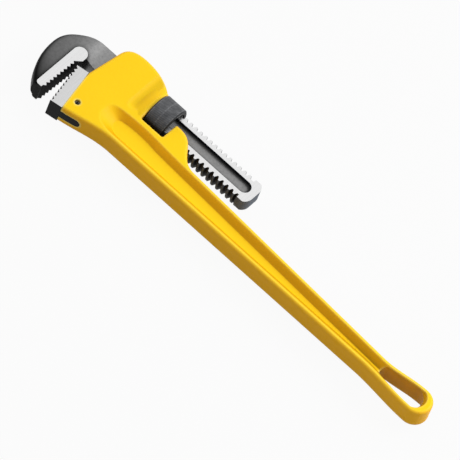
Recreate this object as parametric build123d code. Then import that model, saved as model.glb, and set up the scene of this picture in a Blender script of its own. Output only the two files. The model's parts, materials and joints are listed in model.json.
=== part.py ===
from build123d import *
import math
import os

# Straight cast pipe wrench with an adjustable hook jaw, in millimetres.
# Working frame: x = 0 is the face of the head that the nut bears on, the X axis is the stem's axis and
# points to the handle's end, Z = 0 is the wrench's mid plane. "front" is the mouth's side, which is -Y.

# Stem of the hook jaw: a flat bar with a coarse right-hand thread on its two edges
stem_thickness = 12.7
stem_reach = 108.1            # nut seat to the stem's end
stem_corner = 9.0             # rounding of the stem's end
stem_clearance = 0.35         # stem to the walls of the head's passage
thread_radius = 13.4          # over the crests
thread_depth = 2.4
thread_pitch = 5.3
thread_crest = 1.5            # width of a crest
thread_root = 1.3             # width of a groove's floor
thread_lead_in = 5.6          # thread that reaches past the nut seat into the head
thread_run_out = 9.7          # plain stretch at the stem's end
thread_clearance = 0.35       # between the nut's thread and the stem's
recess_width = 11.6           # forged panel in both sides of the stem
recess_depth = 3.45
recess_margin = 6.0           # panel's end to the stem's end
recess_lead_in = 40.0         # panel that reaches past the nut seat into the head

# Hook: the jaw's crown, toothed pad and throat
jaw_thickness = 20.0
tooth_pitch = 4.0
tooth_depth = 2.0
mouth_gap = 2.1               # between the two rows of tips at the back of the mouth
hook_lean = 2.0               # degrees that the tooth line leans from square
hook_teeth_start = 18.9       # stem axis to the first tip
hook_teeth = 10
hook_end = 2.0                # plain land at the hook's tip
crown_thickness = 17.0
crown_height = 27.0           # tooth tips to the crown's outermost point
crown_front = 17.0            # stem axis to the crown's outermost point
shoulder_drop = 3.6           # tooth tips back to the start of the crown's back curve
nape_height = 15.8            # tooth tips to a place on the crown's back curve
nape_back = 4.8
brow_height = 17.7            # tooth tips to a place on the crown's front curve
brow_front = 50.2
taper_start = 5.0             # tooth tips to where the crown starts to thin to the stem
taper_end = 9.0               # tooth tips back to where it is as thin as the stem
hook_back = 12.6              # stem axis to the neck's back edge
hook_throat = 11.6            # stem axis to the neck's front edge
hook_edge_round = 5.0
throat_edge_round = 1.5
crown_tip_rise = 1.6          # pad's upper edge to the crown's outer edge at the tip
crown_fall = 40.0             # degrees that the crown's outer edge falls at the tip
neck_inset = 8.5              # corner between the jaws to the neck's end inside the head
neck_overlap = 2.0            # neck that runs on inside the stem
throat_inset = 1.5            # throat's curve starts this far inside the pad
pad_height = 9.6              # tooth tips to the pad's upper edge
pad_width = 12.6              # across the pad's rounded back end
pad_back = 5.5                # stem axis to the pad's rounded back end
pad_corner = 3.0

# Adjusting nut
nut_radius = 17.4
nut_length = 20.0
nut_seat_gap = 0.2
nut_play = 2.8                # room in the window for the nut to tilt with the jaw
nut_chamfer = 1.2
nut_flutes = 48
nut_flute_radius = 0.75

# Head of the handle
handle_thickness = 20.0
head_length = 56.5            # nut seat to the corner between the two jaws
head_corner = 18.3            # stem axis to that corner
head_front = 60.5             # stem axis to the front corner
head_back_drop = 4.3          # that corner to the head's back corner, along the stem
head_back = 13.8              # stem axis to the head's back corner
hump_reach = 26.2             # stem axis to the top of the hump
hump_share = 0.652            # place of the hump's top on the way from the nut seat to the back corner
hump_end = 14.6               # stem axis to the hump's end at the nut
hump_lean = 0.12              # slope of the hump's rise at the back corner
hump_fall = 0.9               # slope of the hump's fall at the nut
hump_round = 3.0
head_flare = 0.16             # slope of the front edge at the heel seat
lip_height = 13.0             # mid plane to the top of the lip that carries the nut
lip_length = 12.5
lip_land = 3.1                # level stretch of the lip at the nut
lip_sink = 0.3                # start of the lip's rise below the valley's floor
lip_edge_round = 1.2
valley_depth = 1.3
valley_radius = 11.0
jaw_rock = 2.5                # degrees that the hook jaw rocks forward in the head
rock_margin = 0.3             # degrees more that the passage's front wall opens towards the mouth
window_front = 18.8           # stem axis to the window's edge
window_corner = 1.5
window_edge_round = 1.2

# Handle shaft
handle_reach = 332.4          # nut seat to the handle's end
front_edge = 51.4             # stem axis to the straight front edge
boss_peak = 1.0               # stem axis to the top of the ears beside the stem
boss_land = 4.0
boss_length = 39.0            # window to the foot of the ears' slope
shaft_back = 23.5             # stem axis to the back edge at the ears' foot
waist_back = 33.8             # stem axis to the back edge at the waist
waist_length = 56.0           # waist to the handle's end
tail_width = 25.5
tail_front = 55.0             # stem axis to the tail's front
shaft_round = 2.4
rib_width = 3.1
trough_depth = 6.0
trough_slope = 5.4            # run of the trough's sloped walls
trough_nose = 26.4            # nut seat to the trough's rounded start
trough_nose_front = 34.5
trough_bank = 24.2            # stem axis to the trough's edge beside the window
trough_edge_round = 1.1
trough_floor_round = 1.0
trough_nose_run = 2.5         # slope of the rounded start and of the tail, to that of the side walls
trough_nose_drift = -0.1
trough_tail_run = 0.6
hole_wide_radius = 9.0
hole_narrow_radius = 4.6
hole_length = 43.0
hole_margin = 8.6             # hole to the handle's end

# Heel jaw and its pin
heel_height = 11.0            # seat to the tooth tips
heel_tilt = 10.2              # degrees that the heel's seat leans from square
heel_teeth = 10
heel_end = 0.75               # plain land at both ends of the heel's tooth row
heel_back = 19.8              # stem axis to the heel jaw's back end
tongue_thickness = 8.0
tongue_length = 18.0
tongue_back = 28.0            # stem axis to the tongue's back side
tongue_gap = 0.1
pin_radius = 2.5
pin_wall = 1.0
pin_slit = 1.2
pin_gap = 0.04
pin_recess = 2.0
pin_depth = 7.5               # heel seat to the pin
pin_front = 47.3              # stem axis to the pin

# Springs in the head's front wall
leaf_thickness = 0.9
leaf_width = 9.0
leaf_length = 38.0
leaf_start = 8.0              # nut seat to the leaf's near end
leaf_gap = 0.25
coil_wire = 1.0
coil_radius = 2.9             # middle of the wire
coil_turns = 5
coil_place = 24.0             # nut seat to the coil's axis
coil_hole_radius = 4.0
coil_hole_depth = 11.0
coil_seat_gap = 0.1
pip_radius = 1.8
pip_height = 1.6

touch = 0.01                  # two places nearer than this are the same
half_handle = handle_thickness / 2
half_stem = stem_thickness / 2
thread_root_radius = thread_radius - thread_depth
window_length = nut_seat_gap + nut_length + nut_play
neck_length = head_length - neck_inset
hook_line = head_length + heel_height + mouth_gap
hook_crown = hook_line + crown_height
hook_shoulder = hook_line - shoulder_drop
pad_top = hook_line + pad_height
head_back_length = head_length - head_back_drop
hump_length = hump_share * head_back_length
waist_x = handle_reach - waist_length
tail_radius = tail_width / 2
tail_x = handle_reach - tail_radius
tail_middle = tail_front - tail_radius
seat_slope = math.tan(math.radians(heel_tilt))
back_slope = (waist_back - shaft_back) / (waist_x - window_length - boss_length)
leaf_face = thread_radius + leaf_gap


def at(x, front):
    """A plan point from its distance past the nut seat and its distance in front of the stem's axis."""
    return (x, -front)


def seat_x(front, rise=0.0):
    """Where the heel's seat line, raised by some amount, is at a distance in front of the axis."""
    return -head_length + (front - head_corner) * seat_slope - rise


def slab(outline, thickness):
    """A plan outline made solid on both sides of the mid plane."""
    return extrude(make_face(outline), thickness / 2, both=True)


def both_sides(piece):
    """A piece and its mirror image across the mid plane."""
    return [piece, mirror(piece, about=Plane.XY)]


def rims(piece, height):
    """Edges that lie flat at a height above or below the mid plane."""
    return piece.edges().filter_by(lambda e: abs(abs(e.center().Z) - height) < touch)


def tooth_points(first_tip, along, inwards, count):
    """Tip, root, tip, root along a line, as plan vectors."""
    points = []
    for tooth in range(count):
        tip = first_tip + along * (tooth * tooth_pitch)
        points.append(tip)
        points.append(tip + along * (tooth_pitch / 2) + inwards * tooth_depth)
    return points


def handle_outline():
    """Plan outline of the casting, with the nut's window still partly filled in."""
    middle = window_length / 2
    boss_start = at(window_length + boss_land, boss_peak)
    boss_foot = at(window_length + boss_length, shaft_back)
    waist = at(waist_x, waist_back)
    tail_back = at(tail_x, tail_front - tail_width)
    tail_end = at(handle_reach, tail_middle)
    tail_side = at(tail_x, tail_front)
    front_bend = at(waist_x - tail_radius, front_edge)
    front_start = at(0, front_edge)
    corner = at(seat_x(head_front), head_front)
    apex = at(-head_length, head_corner)
    back_corner = at(-head_back_length, -head_back)
    hump_top = at(-hump_length, -hump_reach)
    lip = at(0, -hump_end)
    past_lip = at(middle, hump_fall * middle - hump_end)
    along = (1, 0)
    back_line = (1, -back_slope)
    return [
        Line(past_lip, at(middle, boss_peak)),
        Line(at(middle, boss_peak), boss_start),
        Spline(boss_start, boss_foot, tangents=[along, back_line]),
        Line(boss_foot, waist),
        Spline(waist, tail_back, tangents=[back_line, along]),
        ThreePointArc(tail_back, tail_end, tail_side),
        Spline(tail_side, front_bend, tangents=[(-1, 0), (-1, 0)]),
        Line(front_bend, front_start),
        Spline(front_start, corner, tangents=[(-1, 0), (-1, -head_flare)]),
        Line(corner, apex),
        Line(apex, back_corner),
        Spline(back_corner, hump_top, tangents=[(hump_lean, 1), along]),
        Spline(hump_top, lip, tangents=[along, (1, -hump_fall)]),
        Line(lip, past_lip),
    ]


def trough_outline(slope):
    """One level of the trough in the handle's side: its rim with no slope, its floor with the full one."""
    edge = rib_width + slope
    nose = at(-trough_nose + trough_nose_run * slope, trough_nose_front + trough_nose_drift * slope)
    bank_start = at(-trough_nose / 2 + slope, trough_bank + slope)
    bank_end = at(window_length, trough_bank + slope)
    foot = at(window_length + boss_length, shaft_back + edge)
    waist = at(waist_x, waist_back + edge)
    tail_inset = rib_width + trough_tail_run * slope
    tail_back = at(tail_x, tail_middle - tail_radius + tail_inset)
    tail_end = at(handle_reach - tail_inset - rib_width, tail_middle)
    tail_side = at(tail_x, tail_middle + tail_radius - tail_inset)
    front_bend = at(waist_x - tail_radius, front_edge - edge)
    front_start = at(0, front_edge - edge)
    return [
        Spline(nose, bank_start, bank_end, foot, tangents=[(0, 1), (1, -back_slope)]),
        Line(foot, waist),
        Spline(waist, tail_back, tangents=[(1, -back_slope), (1, 0)]),
        ThreePointArc(tail_back, tail_end, tail_side),
        Spline(tail_side, front_bend, tangents=[(-1, 0), (-1, 0)]),
        Line(front_bend, front_start),
        Spline(front_start, nose, tangents=[(-1, 0), (0, 1)]),
    ]


def teardrop():
    """Plan outline of the hang hole: a narrow round end towards the head and a wide one at the tail."""
    wide = at(handle_reach - hole_margin - hole_wide_radius, tail_middle)
    narrow = at(handle_reach - hole_margin - hole_length + hole_narrow_radius, tail_middle)
    ends = [Pos(*wide) * Circle(hole_wide_radius), Pos(*narrow) * Circle(hole_narrow_radius)]
    return make_hull(Sketch(children=ends).edges())


def make_trough():
    """The hollow in the handle's upper side: rounded over its rim, then a straight slope to the floor."""
    wall_angle = math.atan2(trough_depth, trough_slope)
    start = -trough_edge_round * math.tan(wall_angle / 2)
    levels = []
    for share in (0, 0.5, 1):
        turn = share * wall_angle
        depth = trough_edge_round * (1 - math.cos(turn))
        levels.append((depth, start + trough_edge_round * math.sin(turn)))
    levels.append((trough_depth, trough_slope))
    sections = [Pos(0, 0, half_handle - depth) * make_face(trough_outline(slope)) for depth, slope in levels]
    return loft(sections, ruled=True)


def pin_point():
    """Plan place of the heel jaw's pin."""
    return at(seat_x(pin_front) + pin_depth, pin_front)


def make_tongue(start, front, gap=0.0):
    """The heel jaw's tongue, round at its end, from a place on X to its end; with a gap, its slot."""
    half = tongue_thickness / 2 + gap
    middle = seat_x(head_front) + tongue_length + gap - half
    profile = Pos((start + middle) / 2, 0) * Rectangle(middle - start, 2 * half)
    profile += Pos(middle, 0) * Circle(half)
    back = tongue_back - gap
    return extrude(Plane((0, -back, 0), x_dir=(1, 0, 0), z_dir=(0, -1, 0)) * profile, front - back)


def make_lip():
    """Flare of the head behind the nut, rising out of a shallow valley to a bowed lip."""
    foot = half_handle - valley_depth

    def section(x, height, shoulder):
        top = ThreePointArc((hump_end, shoulder), (0, height), (-window_front, shoulder))
        bottom = mirror(top, about=Plane.XZ)
        sides = [Line(top @ 1, bottom @ 1), Line(bottom @ 0, top @ 0)]
        return Plane((x, 0, 0), x_dir=(0, 1, 0), z_dir=(1, 0, 0)) * make_face([top, bottom] + sides)

    low_end = section(-lip_length, foot - lip_sink, foot - 2 * lip_sink)
    high_end = section(-lip_land, lip_height, half_handle)
    land = extrude(high_end, lip_land)
    rim = land.faces().sort_by(Axis.X)[-1].edges().filter_by(GeomType.CIRCLE)
    return [loft([low_end, high_end]), fillet(rim, lip_edge_round)]


def make_handle():
    blank = slab(handle_outline(), handle_thickness)
    hump = rims(blank, half_handle).filter_by(lambda e: e.center().Y > head_back and e.center().X < 0)
    blank = fillet(hump, hump_round)
    edges = rims(blank, half_handle)
    shaft = edges.filter_by(lambda e: e.center().X > window_length)
    head_side = edges.filter_by(lambda e: -head_length / 2 < e.center().X < 0)
    head_side = head_side.filter_by(lambda e: e.center().Y < -front_edge)
    blank = fillet(shaft + head_side, shaft_round)

    blank -= both_sides(make_trough())
    blank = fillet(rims(blank, half_handle - trough_depth), trough_floor_round)

    across = 4 * handle_thickness
    window_back = 4 * nut_radius
    window_face = Pos(window_length / 2, (window_back - window_front) / 2, 0) * Rectangle(
        window_length, window_back + window_front)
    corners = window_face.vertices().sort_by(Axis.Y)[:2]
    blank -= extrude(fillet(corners, window_corner), across, both=True)
    edges = rims(blank, half_handle).filter_by(lambda e: touch < e.center().X < window_length + touch)
    window_rim = edges.filter_by(lambda e: -window_front - touch < e.center().Y < -boss_peak)
    blank = fillet(window_rim, window_edge_round)

    valley_z = half_handle - valley_depth + valley_radius
    valley_end = math.sqrt(valley_radius**2 - (valley_radius - valley_depth)**2) - window_front
    valley = Sphere(valley_radius) + Rot(X=-90) * Cylinder(
        valley_radius, across, align=(Align.CENTER, Align.CENTER, Align.MIN))
    blank -= both_sides(Pos(-lip_length, valley_end, valley_z) * valley)
    blank = blank.fuse(*make_lip())

    gap = stem_clearance
    slot_thickness = stem_thickness + 2 * gap
    mouth = -head_length - head_front
    wall = thread_radius + leaf_gap + leaf_thickness + gap
    wall_rise = math.tan(math.radians(jaw_rock + rock_margin)) * -mouth
    passage = [
        at(window_length, -thread_radius - gap), at(window_length, wall), at(0, wall),
        at(mouth, wall + wall_rise), at(mouth, -thread_radius - gap)]
    blank -= slab(Polyline(*passage, close=True), slot_thickness)
    fork_end = window_length + boss_length
    fork = [
        at(0, -window_back), at(0, thread_radius + gap),
        at(fork_end, thread_radius + gap), at(fork_end, -window_back)]
    blank -= slab(Polyline(*fork, close=True), slot_thickness)
    blank -= Pos(*at(-coil_place, wall)) * Rot(X=90) * Cylinder(
        coil_hole_radius, coil_hole_depth, align=(Align.CENTER, Align.CENTER, Align.MIN))

    blank -= make_tongue(mouth, 2 * head_front, tongue_gap)
    blank -= Pos(*pin_point()) * Cylinder(pin_radius + pin_gap, across)
    blank -= extrude(make_face(teardrop()), across, both=True)
    return blank


def make_thread_tooth(side):
    """One thread tooth, a ring segment turned to the thread's lead. side is +1 on the stem's back edge."""
    lead = math.degrees(math.atan2(thread_pitch, 2 * math.pi * (thread_radius - thread_depth / 2)))
    flank = (thread_pitch - thread_crest - thread_root) / 2 / thread_depth
    inner = thread_root_radius - thread_depth / 4
    half_base = thread_crest / 2 + flank * (thread_radius - inner)
    outline = Polyline(
        (-half_base, inner), (-thread_crest / 2, thread_radius),
        (thread_crest / 2, thread_radius), (half_base, inner), close=True)
    span = 90.0
    ring = revolve(Rot(X=-span / 2) * make_face(outline), Axis.X, span)
    if side < 0:
        ring = Rot(X=180) * ring
    return Rot(Y=side * lead) * ring


def make_stem():
    """Flat bar with rounded edges, threaded on both, with a panel sunk in both sides and a rounded end."""
    thread_start = -thread_lead_in
    thread_end = stem_reach - thread_run_out

    def round_bar(radius, start, end):
        return Pos((start + end) / 2, 0, 0) * Rot(Y=90) * Cylinder(radius, end - start)

    bar = round_bar(thread_radius, -neck_length, thread_start)
    bar += round_bar(thread_root_radius, thread_start, thread_end)
    bar += round_bar(thread_radius, thread_end, stem_reach)
    teeth = []
    count = int((thread_end - thread_start) / thread_pitch)
    for side, shift in ((1, 0.5), (-1, 1.0)):
        tooth = make_thread_tooth(side)
        for turn in range(count):
            teeth.append(Pos(thread_start + thread_pitch * (turn + shift), 0, 0) * tooth)
    bar = bar.fuse(*teeth)

    plan = Pos((stem_reach - neck_length) / 2, 0) * Rectangle(stem_reach + neck_length, 4 * thread_radius)
    bar &= extrude(plan, half_stem, both=True)
    tip = Pos(stem_reach / 2, 0) * Rectangle(stem_reach, 2 * thread_radius)
    tip -= fillet(tip.vertices().sort_by(Axis.X)[2:], stem_corner)
    bar -= extrude(tip, thread_radius, both=True)

    panel_end = stem_reach - recess_margin
    panel = SlotOverall(panel_end + recess_lead_in, recess_width)
    panel_place = Pos((panel_end - recess_lead_in) / 2, 0, half_stem - recess_depth)
    return bar - both_sides(panel_place * extrude(panel, recess_depth))


def hook_teeth_points():
    """Tips and roots of the hook's tooth row, from its back end to its tip."""
    lean = math.radians(hook_lean)
    along = Vector(*at(-math.sin(lean), math.cos(lean)))
    inwards = Vector(*at(-math.cos(lean), -math.sin(lean)))
    return tooth_points(Vector(*at(-hook_line, hook_teeth_start)), along, inwards, hook_teeth)


def hook_tip():
    """How far in front of the stem's axis the hook's tip is."""
    return -hook_teeth_points()[-1].Y + hook_end


def make_taper():
    """Side outline of the hook, thick at the crown and as thin as the stem at the neck, made wide."""
    half = crown_thickness / 2
    outer = -2 * hook_crown
    thick_end = -hook_line - taper_start
    thin_start = taper_end - hook_line
    upper = Line((outer, half), (thick_end, half))
    upper += Spline((thick_end, half), (thin_start, half_stem), tangents=[(1, 0), (1, 0)])
    upper += Line((thin_start, half_stem), (0, half_stem))
    lower = mirror(upper, about=Plane.XZ)
    ends = [Line((0, half_stem), (0, -half_stem)), Line((outer, -half), (outer, half))]
    return extrude(Plane.XZ * make_face([upper, lower] + ends), 2 * hook_crown, both=True)


def make_crown():
    """Rounded body of the hook, from the neck in the head round to the tip, where it runs into the pad."""
    tip_front = hook_tip()
    core = -(pad_top + hook_line) / 2
    fall = math.radians(crown_fall)
    outer_tip = at(-pad_top - crown_tip_rise, tip_front)
    brow = at(-hook_line - brow_height, brow_front)
    crown = at(-hook_crown, crown_front)
    nape = at(-hook_line - nape_height, -nape_back)
    shoulder = at(-hook_shoulder, -hook_back)
    neck_end = neck_overlap - neck_length
    neck_back = at(neck_end, -hook_back)
    neck_front = at(neck_end, hook_throat)
    throat = at(pad_width - pad_top - throat_inset, pad_back + pad_width / 2)
    throat_end = at(-head_length, hook_throat)
    body = slab([
        Line(neck_back, shoulder),
        Spline(shoulder, nape, crown, tangents=[(-1, 0), (0, -1)]),
        Spline(crown, brow, outer_tip, tangents=[(0, -1), (math.sin(fall), -math.cos(fall))]),
        Line(outer_tip, at(core, tip_front)),
        Line(at(core, tip_front), at(core, hook_teeth_start)),
        Line(at(core, hook_teeth_start), throat),
        Spline(throat, throat_end, tangents=[(0, 1), (1, 0)]),
        Line(throat_end, neck_front),
        Line(neck_front, neck_back),
    ], crown_thickness)

    half = crown_thickness / 2
    throat_rim = rims(body, half).filter_by(lambda e: e.center().Y < 0 and e.center().X > -hook_line)
    body = fillet(throat_rim, throat_edge_round)
    outer_rim = rims(body, half).filter_by(GeomType.BSPLINE).filter_by(lambda e: e.center().X < -hook_line)
    return fillet(outer_rim, hook_edge_round) & make_taper()


def make_pad():
    """Full-width pad that carries the hook's teeth, with a round end at the throat."""
    teeth = hook_teeth_points()
    first, last = teeth[0], teeth[-1]
    radius = pad_width / 2
    round_front = pad_back + radius
    throat = pad_width - pad_top
    tip_front = hook_tip()
    edges = [
        Polyline(at(throat, round_front), at(throat, -first.Y - radius / 2), *teeth, at(last.X, tip_front)),
        Line(at(last.X, tip_front), at(pad_corner - pad_top, tip_front)),
        RadiusArc(at(pad_corner - pad_top, tip_front), at(-pad_top, tip_front - pad_corner), pad_corner),
        Line(at(-pad_top, tip_front - pad_corner), at(-pad_top, round_front)),
        ThreePointArc(at(-pad_top, round_front), at(radius - pad_top, pad_back), at(throat, round_front)),
    ]
    return slab(edges, jaw_thickness)


def make_hook_jaw():
    return make_stem().fuse(make_crown(), make_pad())


def make_heel_jaw():
    tilt = math.radians(heel_tilt)
    along = Vector(*at(math.sin(tilt), math.cos(tilt)))
    outwards = Vector(*at(-math.cos(tilt), math.sin(tilt)))
    base = Vector(*at(seat_x(heel_back), heel_back))
    length = heel_teeth * tooth_pitch + 2 * heel_end
    top = base + outwards * heel_height
    teeth = tooth_points(top + along * heel_end, along, -outwards, heel_teeth)
    corners = [base, top] + teeth + [top + along * length, base + along * length]
    block = slab(Polyline(*corners, close=True), jaw_thickness)
    tongue = make_tongue(seat_x(tongue_back), head_front, 0)
    tongue &= slab(handle_outline(), tongue_thickness)
    jaw = block + tongue
    return jaw - Pos(*pin_point()) * Cylinder(pin_radius + pin_gap, 2 * tongue_thickness)


def make_heel_jaw_pin():
    length = handle_thickness - 2 * pin_recess
    tube = Cylinder(pin_radius, length) - Cylinder(pin_radius - pin_wall, length)
    return Pos(*pin_point()) * (tube - Pos(pin_radius, 0, 0) * Box(2 * pin_radius, pin_slit, length))


def make_adjusting_nut():
    bore = thread_radius + thread_clearance
    lying = Plane((nut_seat_gap, 0, 0), x_dir=(0, 1, 0), z_dir=(1, 0, 0))
    standing = (Align.CENTER, Align.CENTER, Align.MIN)
    blank = chamfer(Cylinder(nut_radius, nut_length, align=standing).edges(), nut_chamfer)
    flute = Cylinder(nut_flute_radius, nut_length, align=standing)
    flute = Pos(nut_radius + nut_flute_radius / 2, 0, 0) * flute
    blank -= [Rot(Z=360 * number / nut_flutes) * flute for number in range(nut_flutes)]
    blank -= Cylinder(bore, nut_length, align=standing)

    # The thread is a ridge on the bore, in the stem's grooves with a clearance all round
    flank = (thread_pitch - thread_crest - thread_root) / 2 / thread_depth
    crest_radius = thread_root_radius + thread_clearance
    half_crest = thread_root / 2 + flank * thread_clearance - thread_clearance
    half_base = half_crest + flank * (bore + thread_clearance - crest_radius)
    profile = make_face(Polyline(
        (crest_radius, -half_crest), (bore + thread_clearance, -half_base),
        (bore + thread_clearance, half_base), (crest_radius, half_crest), close=True))
    start = -thread_lead_in - nut_seat_gap
    path = Helix(thread_pitch, nut_length + 2 * thread_pitch, bore)
    ridge = sweep(Plane.XZ * profile, path=path, is_frenet=True)
    sleeve = Cylinder(bore + 2 * thread_clearance, nut_length, align=standing)
    ridge = (Pos(0, 0, start) * ridge) & sleeve
    return lying * (blank + ridge)


def make_flat_spring():
    strip = Plane((0, -leaf_face, 0), x_dir=(1, 0, 0), z_dir=(0, -1, 0)) * (
        Pos(-leaf_start - leaf_length / 2, 0) * SlotOverall(leaf_length, leaf_width))
    pip = Plane((-coil_place, -leaf_face, 0), x_dir=(1, 0, 0), z_dir=(0, -1, 0)) * Circle(pip_radius)
    return extrude(strip, leaf_thickness) + extrude(pip, leaf_thickness + pip_height)


def make_coil_spring():
    start = leaf_face + leaf_thickness + coil_seat_gap + coil_wire / 2
    end = leaf_face + leaf_thickness + stem_clearance + coil_hole_depth - coil_seat_gap - coil_wire / 2

    def point(turn):
        angle = 2 * math.pi * turn
        front = start + (end - start) * turn / coil_turns
        return (coil_radius * math.cos(angle) - coil_place, -front, coil_radius * math.sin(angle))

    quarters = []
    for quarter in range(4 * coil_turns):
        turns = [(quarter + share) / 4 for share in (0, 0.5, 1)]
        quarters.append(ThreePointArc(*[point(turn) for turn in turns]))
    path = Wire(quarters)
    return sweep(Plane(path @ 0, z_dir=path % 0) * Circle(coil_wire / 2), path=path)


pieces = {
    "handle": make_handle(),
    "hook_jaw": make_hook_jaw(),
    "heel_jaw": make_heel_jaw(),
    "heel_jaw_pin": make_heel_jaw_pin(),
    "adjusting_nut": make_adjusting_nut(),
    "flat_spring": make_flat_spring(),
    "coil_spring": make_coil_spring(),
}

# The finished wrench lies flat with its origin at the bottom centre of its box
boxes = [piece.bounding_box() for piece in pieces.values()]
low = [min(tuple(box.min)[axis] for box in boxes) for axis in range(3)]
high = [max(tuple(box.max)[axis] for box in boxes) for axis in range(3)]
place = Pos(-(low[0] + high[0]) / 2, -(low[1] + high[1]) / 2, -low[2])
os.makedirs("parts", exist_ok=True)
for name, piece in pieces.items():
    export_step(place * piece, f"parts/{name}.step")
print("nut seat and stem axis in the finished frame", place.position)
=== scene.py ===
import json
import math

import bmesh
import bpy
from mathutils import Matrix, Vector


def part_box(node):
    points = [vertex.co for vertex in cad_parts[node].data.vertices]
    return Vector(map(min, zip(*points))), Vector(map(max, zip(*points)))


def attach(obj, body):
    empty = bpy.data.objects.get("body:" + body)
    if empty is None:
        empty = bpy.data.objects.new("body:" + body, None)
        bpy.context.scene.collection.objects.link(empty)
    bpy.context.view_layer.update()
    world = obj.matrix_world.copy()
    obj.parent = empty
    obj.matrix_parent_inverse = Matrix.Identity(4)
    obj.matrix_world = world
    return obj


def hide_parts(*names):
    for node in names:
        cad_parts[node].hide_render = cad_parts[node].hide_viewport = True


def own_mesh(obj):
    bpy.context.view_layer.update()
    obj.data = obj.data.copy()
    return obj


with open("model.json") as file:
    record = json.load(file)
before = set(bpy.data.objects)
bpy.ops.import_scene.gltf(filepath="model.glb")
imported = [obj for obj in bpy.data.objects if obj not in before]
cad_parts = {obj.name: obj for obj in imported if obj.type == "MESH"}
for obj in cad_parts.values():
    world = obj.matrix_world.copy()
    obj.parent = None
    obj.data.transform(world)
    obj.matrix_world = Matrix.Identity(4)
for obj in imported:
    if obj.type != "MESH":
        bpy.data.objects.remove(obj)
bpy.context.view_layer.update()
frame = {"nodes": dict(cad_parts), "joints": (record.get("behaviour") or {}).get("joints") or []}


# Handle: one ductile iron casting that holds the head, the trough of its I section and the hang hole.
# It is blast cleaned, dipped in yellow enamel and baked, so soft cast dimples and a fine orange peel
# show in an even, half-bright skin, with painted shade on its walls and in its corners and a painted highlight
# on its edges.

enamel_yellow = "#FFD510"
enamel_deep = "#FBCA08"
# Painted shade: the next colour makes upright walls a deeper, more orange yellow than level faces
enamel_wall_shade = "#FFBC06"
# Painted shade: the next colour darkens walls near corners and creases, and the valley before the nut's lip
enamel_shade = "#8C7406"
# Painted highlight: the next colour lightens the enamel along outer edges
enamel_highlight = "#FFEA80"
casting_drift_mm = 70
casting_dimple_mm = 6
casting_dimple_depth = 0.0005
enamel_peel_mm = 1.8      # a real peel is about half as wide; this coarse it still shows in the render
enamel_peel_depth = 0.00015
enamel_relief = 0.4
enamel_gloss = (0.4, 0.5)
enamel_specular = 0.15
enamel_ior = 1.5
wall_level = (0.96, 0.7)  # how level the skin lies where a wall begins, and where it is all wall
wall_shade_reach = 0.02         # how far from a corner the painted shade reaches on a wall
wall_shade_open = (0.95, 0.75)  # how open a spot lies where the painted shade begins, and where it is darkest
wall_shade_share = 0.5
crease_reach = 0.008      # how far from an inner corner the painted shade is darkest
crease_open = (0.92, 0.62)
crease_share = 0.85
highlight_reach = 0.002        # how far from an edge the painted highlight reaches
highlight_open = (0.95, 0.55)
highlight_share = 0.85
enamel_round = 0.002      # how far it flows round an edge or a corner
valley_mm = -12.5         # foot of the nut's lip, from the nut's seat; a band of painted shade lies along it
valley_width_mm = 7.0
valley_end_mm = (-22, -6)
valley_shade_share = 0.25
noise_span = (0.3, 0.7)   # most values of a noise pattern lie between these
whole_span = (0.0, 1.0)

spin = next(joint for joint in frame["joints"] if joint["name"] == "nut_spin")
nut_low, nut_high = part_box("adjusting_nut")
nut_seat = Vector((nut_low[0], spin["pos_m"][1], spin["pos_m"][2]))


def colour(code):
    """A linear colour from an sRGB hex code."""
    shares = [int(code[place:place + 2], 16) / 255 for place in (1, 3, 5)]
    linear = [share / 12.92 if share <= 0.04045 else ((share + 0.055) / 1.055) ** 2.4 for share in shares]
    return (*linear, 1.0)


def per_mm(size):
    """The texture scale, in repeats per metre, of a pattern that repeats after some millimetres."""
    return 1000 / size


def add(tree, kind, inputs=None, **settings):
    """Adds a node with its settings, and fills its inputs with values or with links from other nodes."""
    made = tree.nodes.new(kind)
    for name, value in settings.items():
        setattr(made, name, value)
    for name, value in (inputs or {}).items():
        if isinstance(value, bpy.types.NodeSocket):
            tree.links.new(value, made.inputs[name])
        else:
            made.inputs[name].default_value = value
    return made


def maths(tree, operation, *values, **settings):
    """The result of an operation on one number or on two."""
    made = add(tree, "ShaderNodeMath", dict(enumerate(values)), operation=operation, **settings)
    return made.outputs["Value"]


def span(tree, value, ends, to=whole_span, **settings):
    """A number that goes between two limits while the given one goes between its ends."""
    return add(tree, "ShaderNodeMapRange", {
        "Value": value, "From Min": ends[0], "From Max": ends[1], "To Min": to[0], "To Max": to[1]},
        **settings).outputs["Result"]


def blend(tree, share, first, second, data_type="RGBA", **settings):
    """A colour or a number between two others, as far along as the share says."""
    return add(tree, "ShaderNodeMix", {"Factor": share, "A": first, "B": second},
               data_type=data_type, **settings).outputs["Result"]


def noise(tree, place, size_mm, detail, roughness=0.5):
    """A noise pattern with blots of about some millimetres."""
    return add(tree, "ShaderNodeTexNoise", {
        "Vector": place, "Scale": per_mm(size_mm), "Detail": detail, "Roughness": roughness}).outputs["Fac"]


def openness(tree, reach, **settings):
    """How open the surface lies within a reach: 1 in the open, and less the deeper it is in a corner."""
    return add(tree, "ShaderNodeAmbientOcclusion", {"Distance": reach}, samples=8, **settings).outputs["AO"]


def bump(tree, height, strength, depth, **inputs):
    """The surface's normal, tilted as a relief of some depth would tilt it."""
    return add(tree, "ShaderNodeBump", {
        "Height": height, "Strength": strength, "Distance": depth, **inputs}).outputs["Normal"]


def surface(tree, inputs):
    """Ends a material with its shader."""
    shader = add(tree, "ShaderNodeBsdfPrincipled", inputs)
    add(tree, "ShaderNodeOutputMaterial", {"Surface": shader.outputs["BSDF"]})


def new_material(name):
    """An empty node material, with the place on the piece that its patterns read."""
    material = bpy.data.materials.new(name)
    material.use_nodes = True
    tree = material.node_tree
    tree.nodes.clear()
    place = add(tree, "ShaderNodeTexCoord").outputs["Object"]
    return material, tree, place


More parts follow.
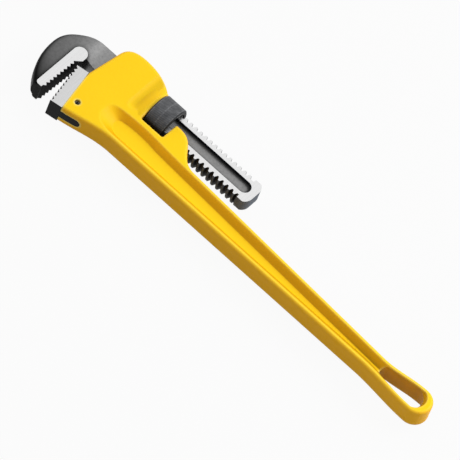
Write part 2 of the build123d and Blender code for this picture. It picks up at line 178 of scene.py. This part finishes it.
def from_seat(tree, place):
    """The place in millimetres from the middle of the nut's seat, as a vector and as its three parts."""
    spot = add(tree, "ShaderNodeMapping", {
        "Vector": place, "Location": nut_seat * -1000, "Scale": (1000, 1000, 1000)}).outputs["Vector"]
    return spot, add(tree, "ShaderNodeSeparateXYZ", {"Vector": spot}).outputs


def off_axis(tree, spot):
    """The distance in millimetres from the axis of the stem and the nut."""
    across = add(tree, "ShaderNodeVectorMath", {0: spot, 1: (0, 1, 1)}, operation="MULTIPLY")
    return add(tree, "ShaderNodeVectorMath", {0: across.outputs["Vector"]}, operation="LENGTH").outputs["Value"]


def level_share(tree):
    """How level the surface lies: 1 on the wrench's two flat sides, 0 on an upright wall."""
    normal = add(tree, "ShaderNodeTexCoord").outputs["Normal"]
    facing = add(tree, "ShaderNodeSeparateXYZ", {"Vector": normal})
    return maths(tree, "ABSOLUTE", facing.outputs["Z"])


def baked_enamel():
    """Yellow baked enamel on a casting, with painted shade on walls and in corners and a painted highlight
    along edges.
    """
    material, tree, place = new_material("baked_yellow_enamel")
    drift = noise(tree, place, casting_drift_mm, 2.0)
    dimple = noise(tree, place, casting_dimple_mm, 4.0, roughness=0.6)
    peel = noise(tree, place, enamel_peel_mm, 1.0)
    even = blend(tree, drift, colour(enamel_yellow), colour(enamel_deep))
    # Painted shade: upright walls turn a deeper orange yellow
    wall = span(tree, level_share(tree), wall_level)
    walls_shaded = blend(tree, wall, even, colour(enamel_wall_shade))

    # Painted shade: darker on the trough's and the hole's walls near their corners and creases, and in the
    # shallow valley before the nut's lip
    corner = openness(tree, wall_shade_reach, only_local=True)
    sheltered = span(tree, corner, wall_shade_open, (0.0, wall_shade_share))
    inner = openness(tree, crease_reach, only_local=True)
    crease = span(tree, inner, crease_open, (0.0, crease_share))
    corner_shade = maths(tree, "MULTIPLY", maths(tree, "MAXIMUM", sheltered, crease), wall)
    # Painted shade: a soft darker band in the valley before the nut's lip
    part = from_seat(tree, place)[1]
    apart = maths(tree, "ABSOLUTE", maths(tree, "SUBTRACT", part["X"], valley_mm))
    along = span(tree, apart, (valley_width_mm, 0.0), (0.0, valley_shade_share), interpolation_type="SMOOTHSTEP")
    across = span(tree, part["Y"], valley_end_mm, interpolation_type="SMOOTHSTEP")
    painted_shade = maths(tree, "MAXIMUM", corner_shade, maths(tree, "MULTIPLY", along, across))
    shaded_colour = blend(tree, painted_shade, walls_shaded, colour(enamel_shade))

    # Painted highlight: paler along outer edges
    edge = openness(tree, highlight_reach, only_local=True, inside=True)
    highlight = span(tree, edge, highlight_open, (0.0, highlight_share))
    soft = add(tree, "ShaderNodeBevel", {"Radius": enamel_round}, samples=8).outputs["Normal"]
    cast = bump(tree, dimple, enamel_relief, casting_dimple_depth, Normal=soft)
    surface(tree, {
        "Base Color": blend(tree, highlight, shaded_colour, colour(enamel_highlight)),
        "Roughness": span(tree, peel, noise_span, enamel_gloss),
        "Normal": bump(tree, peel, enamel_relief, enamel_peel_depth, Normal=cast),
        "IOR": enamel_ior, "Specular IOR Level": enamel_specular})
    return material


def wear(node, material):
    """Gives a CAD piece its finish."""
    slots = frame["nodes"][node].data.materials
    slots.clear()
    slots.append(material)


wear("handle", baked_enamel())


# Hook jaw: one drop forging of alloy steel with a threaded stem. Its forged skin is left dark, its pad and
# the rails of its stem are ground bright, its thread is milled and its teeth are cut and hardened black.

# Painted shade: the crown's colours go from light by the neck to black at the tip
forged_light = "#9A9A9A"
forged_grey = "#7C7C7C"
forged_dark = "#6C6C6C"
forged_outer = "#0A0A0A"
# Painted shade: black on the crown's rim and in its inner corners
forged_shade_black = "#080808"
forged_neck_mm = (-56.0, 6.0, 0.0)
forged_reach_mm = (14.0, 69.0)    # the skin is lightest up to here from the neck, and darkest from there on
forged_grey_at = 0.3              # where it is grey on that way, and where it is dark
forged_dark_at = 0.62
forged_gloss = (0.48, 0.62)
forged_specular = 0.2
forging_scale_mm = 2.2
scale_mottle = (0.72, 1.0)
rim_level = (0.995, 0.75)         # how level the crown lies where its rim begins, and where it is all rim
rim_at = (0.15, 0.5)              # where the rim's painted shade starts to be black on the way from the neck, and where it is
cove_reach = 0.004                # how far from an inner corner the painted shade reaches
cove_open = (0.98, 0.7)
cove_share = 0.9
panel_grey = "#929292"
panel_floor_mm = 3.2              # mid plane to just over the panel's floor
thread_blue = "#1E242D"
# Painted highlight: the thread's crests take the next, lighter blue grey
crest_highlight_blue = "#4C5768"
crest_mm = (12.6, 13.4)
end_blue = "#59626F"
stem_start_mm = -46.5
stem_end_mm = (-9.0, -5.0)        # the plain end begins here, from the stem's end face
ground_bright = "#EEEEEE"
ground_line = "#D6D6D6"
ground_level = (0.93, 0.98)       # how level a side lies where its ground finish begins, and where it is full
ground_gloss = 0.32
grinding_line_mm = 0.7            # a real line is a tenth as wide; this coarse it still shows in the render
grinding_run_mm = 25
pad_side_mm = 9.7                 # mid plane to just under the ground sides of the two jaws
rail_side_mm = 6.1                # and of the stem's rails
hardened_black = "#0A0A0A"
hardened_level = (0.5, 0.3)
pad_upper_mm = -80.0              # the pad's upper edge and the teeth's back end, from the nut's seat
teeth_back_mm = -12.0
steel_relief = 0.25
steel_relief_depth = 0.00015


def ground_lines(tree, place):
    """Fine lines that a surface grinder leaves along the jaws."""
    along = add(tree, "ShaderNodeMapping", {
        "Vector": place,
        "Scale": (per_mm(grinding_line_mm), per_mm(grinding_run_mm), per_mm(grinding_line_mm))})
    return add(tree, "ShaderNodeTexNoise", {
        "Vector": along.outputs["Vector"], "Scale": 1.0, "Detail": 3.0}).outputs["Fac"]


def forged_jaw_steel():
    """Drop-forged steel: dull grey scale with painted shade, darker towards the tip, on the rim and in inner
    corners, with ground, milled and black zones.
    """
    material, tree, place = new_material("drop_forged_steel")
    spot, part = from_seat(tree, place)
    height = maths(tree, "ABSOLUTE", part["Z"])
    level = level_share(tree)
    flat = span(tree, level, ground_level)
    lines = ground_lines(tree, place)
    scale = noise(tree, place, forging_scale_mm, 4.0, roughness=0.65)

    # Painted shade: the crown's skin darkens with its distance from the neck, most of all on its outer rim
    away = add(tree, "ShaderNodeVectorMath", {0: spot, 1: forged_neck_mm}, operation="DISTANCE")
    share = span(tree, away.outputs["Value"], forged_reach_mm)
    ramp = add(tree, "ShaderNodeValToRGB", {"Fac": share})
    stops = ramp.color_ramp.elements
    stops[0].color = colour(forged_light)
    stops[1].color = colour(forged_outer)
    stops.new(forged_grey_at).color = colour(forged_grey)
    stops.new(forged_dark_at).color = colour(forged_dark)
    rim = maths(tree, "MULTIPLY", span(tree, level, rim_level), span(tree, share, rim_at))
    crown = blend(tree, rim, ramp.outputs["Color"], colour(forged_shade_black))

    # The stem has a grey panel between its rails, and a dark milled thread whose crests are lightened as a
    # painted highlight
    crest = span(tree, off_axis(tree, spot), crest_mm)
    thread = blend(tree, crest, colour(thread_blue), colour(crest_highlight_blue))
    last = (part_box("hook_jaw")[1][0] - nut_seat.x) * 1000
    end = span(tree, part["X"], (last + stem_end_mm[0], last + stem_end_mm[1]))
    edged = blend(tree, end, thread, colour(end_blue))
    panel = maths(tree, "MULTIPLY", maths(tree, "LESS_THAN", height, panel_floor_mm), flat)
    stem = blend(tree, panel, edged, colour(panel_grey))
    on_stem = maths(tree, "GREATER_THAN", part["X"], stem_start_mm)
    skin = blend(tree, on_stem, crown, stem)
    mottle = span(tree, scale, noise_span, scale_mottle)
    scaled = blend(tree, 1.0, skin, mottle, blend_type="MULTIPLY")
    # Painted shade: black in the inner corners by the pad
    inner = openness(tree, cove_reach, only_local=True)
    cove = span(tree, inner, cove_open, (0.0, cove_share))
    forged = blend(tree, cove, scaled, colour(forged_shade_black))

    # Ground zones: the pad's two sides, which stand proud of the crown, and the rails of the stem
    pad = maths(tree, "GREATER_THAN", height, pad_side_mm)
    rail = maths(tree, "MULTIPLY", maths(tree, "GREATER_THAN", height, rail_side_mm), on_stem)
    ground = maths(tree, "MULTIPLY", maths(tree, "MAXIMUM", pad, rail), flat)
    bright = blend(tree, lines, colour(ground_bright), colour(ground_line))
    metal = blend(tree, ground, forged, bright)

    # The teeth, the walls of the mouth and the pad's end are black from hardening
    wall = span(tree, level, hardened_level)
    below = maths(tree, "GREATER_THAN", part["X"], pad_upper_mm)
    before = maths(tree, "LESS_THAN", part["Y"], teeth_back_mm)
    mouth = maths(tree, "MULTIPLY", below, before)
    jaw = maths(tree, "SUBTRACT", mouth, on_stem, use_clamp=True)
    teeth = maths(tree, "MULTIPLY", jaw, wall)

    # Milled walls of the stem keep a dull oxide, and the rest shines as metal does
    oxide = maths(tree, "SUBTRACT", on_stem, ground, use_clamp=True)
    dull = span(tree, scale, noise_span, forged_gloss)
    relief = blend(tree, ground, scale, lines, data_type="FLOAT")
    surface(tree, {
        "Base Color": blend(tree, teeth, metal, colour(hardened_black)),
        "Metallic": span(tree, oxide, whole_span, (1.0, 0.0)),
        "Roughness": blend(tree, ground, dull, ground_gloss, data_type="FLOAT"),
        "Normal": bump(tree, relief, steel_relief, steel_relief_depth),
        "Specular IOR Level": forged_specular})
    return material


wear("hook_jaw", forged_jaw_steel())


# Heel jaw: a short block of tool steel on a tongue that fits the head's slot. Its two sides are ground
# level with the head, and its teeth, ends and tongue are black from hardening.

heel_bright = "#DEDEDE"
heel_line = "#C6C6C6"
heel_black = "#121212"
heel_black_gloss = 0.5
heel_ground_gloss = 0.34


def heel_jaw_steel():
    """Hardened tool steel: ground bright on the two sides, black oxide everywhere else."""
    material, tree, place = new_material("hardened_tool_steel")
    height = maths(tree, "ABSOLUTE", from_seat(tree, place)[1]["Z"])
    flat = span(tree, level_share(tree), ground_level)
    lines = ground_lines(tree, place)
    scale = noise(tree, place, forging_scale_mm, 3.0)
    ground = maths(tree, "MULTIPLY", maths(tree, "GREATER_THAN", height, pad_side_mm), flat)
    bright = blend(tree, lines, colour(heel_bright), colour(heel_line))
    relief = blend(tree, ground, scale, lines, data_type="FLOAT")
    surface(tree, {
        "Base Color": blend(tree, ground, colour(heel_black), bright),
        "Metallic": 1.0,
        "Roughness": blend(tree, ground, heel_black_gloss, heel_ground_gloss, data_type="FLOAT"),
        "Normal": bump(tree, relief, steel_relief, steel_relief_depth)})
    return material


wear("heel_jaw", heel_jaw_steel())


# Springs and the heel jaw's pin: rolled and coiled spring steel, drawn bright and left oiled. The pin is
# driven through the head and the heel's tongue. The leaf lies between the head's front wall and the stem,
# and the coil in a blind hole behind the leaf.

spring_grey = "#B4B4B2"
spring_straw = "#8C8A84"
spring_gloss = (0.25, 0.4)
spring_relief = 0.1
spring_relief_depth = 0.0001
tempering_mm = 5
coil_wire = 0.001
coil_turns = 5


def spring_steel():
    """Oiled spring steel: bright grey with faint straw clouds from tempering."""
    material, tree, place = new_material("tempered_spring_steel")
    cloud = noise(tree, place, tempering_mm, 3.0)
    surface(tree, {
        "Base Color": blend(tree, cloud, colour(spring_grey), colour(spring_straw)),
        "Metallic": 1.0,
        "Roughness": span(tree, cloud, whole_span, spring_gloss),
        "Normal": bump(tree, cloud, spring_relief, spring_relief_depth)})
    return material


spring_finish = spring_steel()
wear("heel_jaw_pin", spring_finish)
wear("flat_spring", spring_finish)


def new_tree(name, sizes):
    """An empty geometry tree with a named input for each size, and where those inputs come from."""
    tree = bpy.data.node_groups.new(name, "GeometryNodeTree")
    for label, kind in sizes.items():
        tree.interface.new_socket(label, in_out="INPUT", socket_type=kind)
    tree.interface.new_socket("Geometry", in_out="OUTPUT", socket_type="NodeSocketGeometry")
    return tree, add(tree, "NodeGroupInput").outputs


def end_tree(tree, shape, material):
    """Ends a geometry tree with one mesh in its finish."""
    whole = add(tree, "GeometryNodeRealizeInstances", {"Geometry": shape.outputs["Geometry"]})
    finished = add(tree, "GeometryNodeSetMaterial", {
        "Geometry": whole.outputs["Geometry"], "Material": material})
    add(tree, "NodeGroupOutput", {"Geometry": finished.outputs["Geometry"]})


def grow(name, tree, values):
    """Runs a geometry tree with its sizes set, and gives the result as a plain mesh piece."""
    piece = bpy.data.objects.new(name, bpy.data.meshes.new(name))
    bpy.context.scene.collection.objects.link(piece)
    modifier = piece.modifiers.new(name, "NODES")
    modifier.node_group = tree
    for socket in tree.interface.items_tree:
        if socket.in_out == "INPUT":
            modifier[socket.identifier] = values[socket.name]
    shape = piece.evaluated_get(bpy.context.evaluated_depsgraph_get())
    mesh = bpy.data.meshes.new_from_object(shape)
    piece.modifiers.remove(modifier)
    hull = bmesh.new()
    hull.from_mesh(mesh)
    bmesh.ops.recalc_face_normals(hull, faces=hull.faces)
    hull.to_mesh(mesh)
    hull.free()
    piece.data = mesh
    mesh.name = name
    return piece


def coil_tree():
    """Wire swept along a helix whose axis runs across the head."""
    tree, size = new_tree("coil_spring", {
        "Turns": "NodeSocketFloat", "Radius": "NodeSocketFloat", "Length": "NodeSocketFloat",
        "Wire": "NodeSocketFloat", "Start": "NodeSocketVector"})
    path = add(tree, "GeometryNodeCurveSpiral", {
        "Resolution": 32, "Rotations": size["Turns"], "Start Radius": size["Radius"],
        "End Radius": size["Radius"], "Height": size["Length"]})
    section = add(tree, "GeometryNodeCurvePrimitiveCircle", {
        "Resolution": 12, "Radius": maths(tree, "MULTIPLY", size["Wire"], 0.5)})
    wire = add(tree, "GeometryNodeCurveToMesh", {
        "Curve": path.outputs["Curve"], "Profile Curve": section.outputs["Curve"], "Fill Caps": True})
    laid = add(tree, "GeometryNodeTransform", {
        "Geometry": wire.outputs["Mesh"], "Translation": size["Start"], "Rotation": (math.radians(90), 0, 0)})
    smooth = add(tree, "GeometryNodeSetShadeSmooth", {
        "Geometry": laid.outputs["Geometry"], "Shade Smooth": True})
    end_tree(tree, smooth, spring_finish)
    return tree


coil_low, coil_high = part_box("coil_spring")
coil_middle = [(low + high) / 2 for low, high in zip(coil_low, coil_high)]
coil_start = (coil_middle[0], coil_high[1] - coil_wire / 2, coil_middle[2])
coil = grow("coil_spring_wire", coil_tree(), {
    "Turns": coil_turns, "Radius": (coil_high[2] - coil_low[2] - coil_wire) / 2,
    "Length": coil_high[1] - coil_low[1] - coil_wire, "Wire": coil_wire, "Start": coil_start})
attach(coil, "handle")
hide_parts("coil_spring")
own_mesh(coil)


# Adjusting nut: turned from bar, knurled all round for the thumb and threaded to fit the stem's two edges.
# It is blackened in hot oxide and oiled, and one plain ring breaks the knurl half way along.

nut_tip = "#909194"
nut_root = "#2B2C2E"
# Painted shade: the nut turns this black where it lies close to the handle
nut_shade = "#0A0A0A"
nut_rub_mm = (16.9, 17.4)
nut_gloss = (0.42, 0.56)
nut_specular = 0.15
nut_shade_reach = 0.03       # how close to the handle the painted shade reaches
nut_shade_open = (0.98, 0.6)
nut_shade_share = 0.97
knurl_pitch_mm = 1.5
knurl_depth = 0.0003
nut_chamfer = 0.0012
nut_bore = 0.01375
nut_weld = 0.00001        # points of its faces closer than this are one
thread_pitch = 0.0053
ridge_start = 0.00215     # nut's end to the middle of the thread's first turn
ridge_turns = 3
ridge_depth = 0.0024
ridge_root = 0.0003       # the ridge's foot inside the wall of the bore
ridge_crest = 0.00048     # half its width at the crest
ridge_base = 0.0019       # and at the foot


def blackened_steel():
    """Hot-blackened steel: dark in the knurl, grey where thumbs rub it, with painted shade that turns it black
    near the handle.
    """
    material, tree, place = new_material("blackened_nut_steel")
    rub = span(tree, off_axis(tree, from_seat(tree, place)[0]), nut_rub_mm)
    cloud = noise(tree, place, tempering_mm, 4.0)
    worn = maths(tree, "MULTIPLY", rub, cloud)
    tint = blend(tree, worn, colour(nut_root), colour(nut_tip))
    # Painted shade: black where the nut lies close to the handle
    shaded_near_handle = span(tree, openness(tree, nut_shade_reach), nut_shade_open, (0.0, nut_shade_share))
    surface(tree, {
        "Base Color": blend(tree, shaded_near_handle, tint, colour(nut_shade)),
        "Roughness": span(tree, cloud, whole_span, nut_gloss),
        "Specular IOR Level": nut_specular})
    return material


def nut_tree():
    """A knurled band between two chamfers, end faces, a bore and the thread's ridge wound inside it."""
    tree, size = new_tree("adjusting_nut", {
        "Radius": "NodeSocketFloat", "Length": "NodeSocketFloat", "Chamfer": "NodeSocketFloat",
        "Bore": "NodeSocketFloat", "Around": "NodeSocketInt", "Rows": "NodeSocketInt",
        "Depth": "NodeSocketFloat", "Pitch": "NodeSocketFloat", "Turns": "NodeSocketFloat",
        "Lead In": "NodeSocketFloat", "Start": "NodeSocketVector"})
    straight = maths(tree, "SUBTRACT", size["Length"], maths(tree, "MULTIPLY", size["Chamfer"], 2.0))
    narrow = maths(tree, "SUBTRACT", size["Radius"], size["Chamfer"])
    band = add(tree, "GeometryNodeMeshCylinder", {
        "Vertices": size["Around"], "Side Segments": size["Rows"], "Radius": size["Radius"],
        "Depth": straight}, fill_type="NONE")

    # Every second point of the band's grid is pressed in, apart from the two end rows and the ring between
    index = add(tree, "GeometryNodeInputIndex").outputs["Index"]
    row = maths(tree, "FLOOR", maths(tree, "DIVIDE", index, size["Around"]))
    odd = maths(tree, "MODULO", maths(tree, "ADD", index, row), 2.0)
    half_rows = maths(tree, "MULTIPLY", size["Rows"], 0.5)
    from_ring = maths(tree, "ABSOLUTE", maths(tree, "SUBTRACT", row, half_rows))
    clear = maths(tree, "GREATER_THAN", from_ring, 0.5)
    inner = maths(tree, "LESS_THAN", from_ring, maths(tree, "SUBTRACT", half_rows, 0.5))
    pressed = maths(tree, "MULTIPLY", odd, maths(tree, "MULTIPLY", clear, inner))
    inwards = maths(tree, "MULTIPLY", maths(tree, "MULTIPLY", pressed, size["Depth"]), -1.0)
    outwards = add(tree, "GeometryNodeInputNormal").outputs["Normal"]
    push = add(tree, "ShaderNodeVectorMath", {0: outwards, "Scale": inwards}, operation="SCALE")
    knurl = add(tree, "GeometryNodeSetPosition", {
        "Geometry": band.outputs["Mesh"], "Offset": push.outputs["Vector"]})

    bore = add(tree, "GeometryNodeMeshCylinder", {
        "Vertices": size["Around"], "Side Segments": 1, "Radius": size["Bore"], "Depth": size["Length"]},
        fill_type="NONE")
    shapes = [knurl.outputs["Geometry"], bore.outputs["Mesh"]]
    half_band = maths(tree, "MULTIPLY", straight, 0.5)
    half_length = maths(tree, "MULTIPLY", size["Length"], 0.5)
    for upwards in (1.0, -1.0):
        chamfer = add(tree, "GeometryNodeMeshCone", {
            "Vertices": size["Around"], "Side Segments": 1, "Radius Top": narrow,
            "Radius Bottom": size["Radius"], "Depth": size["Chamfer"]}, fill_type="NONE")
        place = add(tree, "ShaderNodeCombineXYZ", {"Z": maths(tree, "MULTIPLY", half_band, upwards)})
        set_chamfer = add(tree, "GeometryNodeTransform", {
            "Geometry": chamfer.outputs["Mesh"], "Translation": place.outputs["Vector"],
            "Scale": (1, 1, upwards)})
        face = add(tree, "GeometryNodeMeshCone", {
            "Vertices": size["Around"], "Side Segments": 1, "Radius Top": size["Bore"],
            "Radius Bottom": narrow, "Depth": 0.0}, fill_type="NONE")
        place = add(tree, "ShaderNodeCombineXYZ", {"Z": maths(tree, "MULTIPLY", half_length, upwards)})
        set_face = add(tree, "GeometryNodeTransform", {
            "Geometry": face.outputs["Mesh"], "Translation": place.outputs["Vector"]})
        shapes += [set_chamfer.outputs["Geometry"], set_face.outputs["Geometry"]]

    # The ridge winds to the right, and lies in the stem's grooves on both of its edges
    path = add(tree, "GeometryNodeCurveSpiral", {
        "Resolution": 48, "Rotations": size["Turns"], "Start Radius": size["Bore"], "End Radius": size["Bore"],
        "Height": maths(tree, "MULTIPLY", size["Pitch"], size["Turns"]), "Reverse": True})
    upright = add(tree, "GeometryNodeSetCurveNormal", {"Curve": path.outputs["Curve"]}, mode="Z_UP")
    section = add(tree, "GeometryNodeCurvePrimitiveQuadrilateral", {
        "Point 1": (-ridge_depth, -ridge_crest, 0), "Point 2": (ridge_root, -ridge_base, 0),
        "Point 3": (ridge_root, ridge_base, 0), "Point 4": (-ridge_depth, ridge_crest, 0)}, mode="POINTS")
    ridge = add(tree, "GeometryNodeCurveToMesh", {
        "Curve": upright.outputs["Curve"], "Profile Curve": section.outputs["Curve"], "Fill Caps": True})
    place = add(tree, "ShaderNodeCombineXYZ", {"Z": maths(tree, "SUBTRACT", size["Lead In"], half_length)})
    wound = add(tree, "GeometryNodeTransform", {
        "Geometry": ridge.outputs["Mesh"], "Translation": place.outputs["Vector"],
        "Rotation": (0, 0, math.radians(-90))})

    gathered = add(tree, "GeometryNodeJoinGeometry")
    for shape in shapes:
        tree.links.new(shape, gathered.inputs["Geometry"])
    closed = add(tree, "GeometryNodeMergeByDistance", {
        "Geometry": gathered.outputs["Geometry"], "Distance": nut_weld})
    threaded = add(tree, "GeometryNodeJoinGeometry", {"Geometry": wound.outputs["Geometry"]})
    tree.links.new(closed.outputs["Geometry"], threaded.inputs["Geometry"])
    turned = add(tree, "GeometryNodeTransform", {
        "Geometry": threaded.outputs["Geometry"], "Translation": size["Start"],
        "Rotation": (0, math.radians(90), 0)})
    end_tree(tree, turned, blackened_steel())
    return tree


nut_radius = (nut_high[2] - nut_low[2]) / 2
nut_length = nut_high[0] - nut_low[0]
nut_around = 2 * round(math.pi * nut_radius * 1000 / knurl_pitch_mm)
nut_rows = 2 * round(nut_length * 1000 / knurl_pitch_mm)
nut = grow("adjusting_nut_knurled", nut_tree(), {
    "Radius": nut_radius, "Length": nut_length, "Chamfer": nut_chamfer, "Bore": nut_bore,
    "Around": nut_around, "Rows": nut_rows, "Depth": knurl_depth, "Pitch": thread_pitch,
    "Turns": ridge_turns, "Lead In": ridge_start, "Start": nut_seat + Vector((nut_length / 2, 0, 0))})
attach(nut, "adjusting_nut")
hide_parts("adjusting_nut")


# Studio: the wrench lies on a white table in a pale room that is brightest above and behind it, under
# one large soft lamp over the handle's end. Camera and reflections see the table and the room as white.

plain_white = "#FFFFFF"
table_white = "#B0B0B0"
table_reach = 6.0
table_drop = 0.0003
table_glow = 0.94         # share of plain white that the camera sees, so that the shadow stays faint
room_low = 0.2            # the room's level in front and below
room_high = 1.0           # and above and behind
room_towards = (-0.2, 0.52, 0.83)
room_span = (-0.3, 0.9)   # where on that way the level starts to rise, and where it is highest
key_direction = (0.55, 0.55, 0.63)
key_distance = 1.4
key_size = 0.9
key_power = 11.5
lens = 1000.0
camera_distance = 10.085
camera_right = Vector((0.7291, 0.6476, 0.2205))
camera_up = Vector((-0.6518, 0.5586, 0.5137))
view_middle = Vector((0.1139, -0.035, 0.0))


def make_camera():
    """A long lens at the photograph's angle, turned so that the wrench runs from corner to corner."""
    back = camera_right.cross(camera_up).normalized()
    camera = bpy.data.objects.new("camera", bpy.data.cameras.new("camera"))
    camera.data.lens = lens
    camera.data.clip_end = 6 * camera_distance
    turn = Matrix((camera_right, camera_up, back)).transposed().to_4x4()
    camera.matrix_world = Matrix.Translation(nut_seat + view_middle + back * camera_distance) @ turn
    bpy.context.scene.collection.objects.link(camera)
    bpy.context.scene.camera = camera


def seen_share(tree):
    """1 for a ray that comes from the camera or from a reflection, and 0 for one that only brings light."""
    path = add(tree, "ShaderNodeLightPath").outputs
    mirrored = maths(tree, "MAXIMUM", path["Is Glossy Ray"], path["Is Transmission Ray"])
    return maths(tree, "MAXIMUM", path["Is Camera Ray"], mirrored)


def white_table():
    """A matt white table top that stays white to the camera and still takes the wrench's shadow."""
    material, tree = new_material("white_table")[:2]
    share = maths(tree, "MULTIPLY", seen_share(tree), table_glow)
    matt = add(tree, "ShaderNodeBsdfDiffuse", {"Color": colour(table_white)})
    glow = add(tree, "ShaderNodeEmission", {"Color": colour(plain_white), "Strength": 1.0})
    mixed = add(tree, "ShaderNodeMixShader", {
        0: share, 1: matt.outputs["BSDF"], 2: glow.outputs["Emission"]})
    add(tree, "ShaderNodeOutputMaterial", {"Surface": mixed.outputs["Shader"]})
    return material


def make_table():
    """The table's flat top, just under the wrench."""
    mesh = bpy.data.meshes.new("table")
    corners = [(-table_reach, -table_reach, 0), (table_reach, -table_reach, 0),
               (table_reach, table_reach, 0), (-table_reach, table_reach, 0)]
    mesh.from_pydata(corners, [], [(0, 1, 2, 3)])
    mesh.materials.append(white_table())
    table = bpy.data.objects.new("table", mesh)
    table.location.z = -table_drop
    bpy.context.scene.collection.objects.link(table)


def make_key_lamp():
    """A large square soft lamp that looks at the wrench."""
    lamp = bpy.data.objects.new("key", bpy.data.lights.new("key", "AREA"))
    lamp.data.size = key_size
    lamp.data.energy = key_power
    towards = Vector(key_direction).normalized()
    lamp.location = towards * key_distance
    lamp.rotation_euler = towards.to_track_quat("Z", "Y").to_euler()
    bpy.context.scene.collection.objects.link(lamp)


def make_room():
    """A pale room: as a light it is dim in front of the wrench, and where it is seen it is white."""
    room = bpy.data.worlds.new("room")
    bpy.context.scene.world = room
    room.use_nodes = True
    tree = room.node_tree
    tree.nodes.clear()
    way = add(tree, "ShaderNodeTexCoord").outputs["Generated"]
    share = add(tree, "ShaderNodeVectorMath", {0: way, 1: room_towards}, operation="DOT_PRODUCT")
    light = span(tree, share.outputs["Value"], room_span, (room_low, room_high))
    level = blend(tree, seen_share(tree), light, 1.0, data_type="FLOAT")
    pale = add(tree, "ShaderNodeBackground", {"Color": colour(plain_white), "Strength": level})
    add(tree, "ShaderNodeOutputWorld", {"Surface": pale.outputs["Background"]})


make_camera()
make_table()
make_key_lamp()
make_room()
bpy.context.scene.view_settings.view_transform = "Standard"
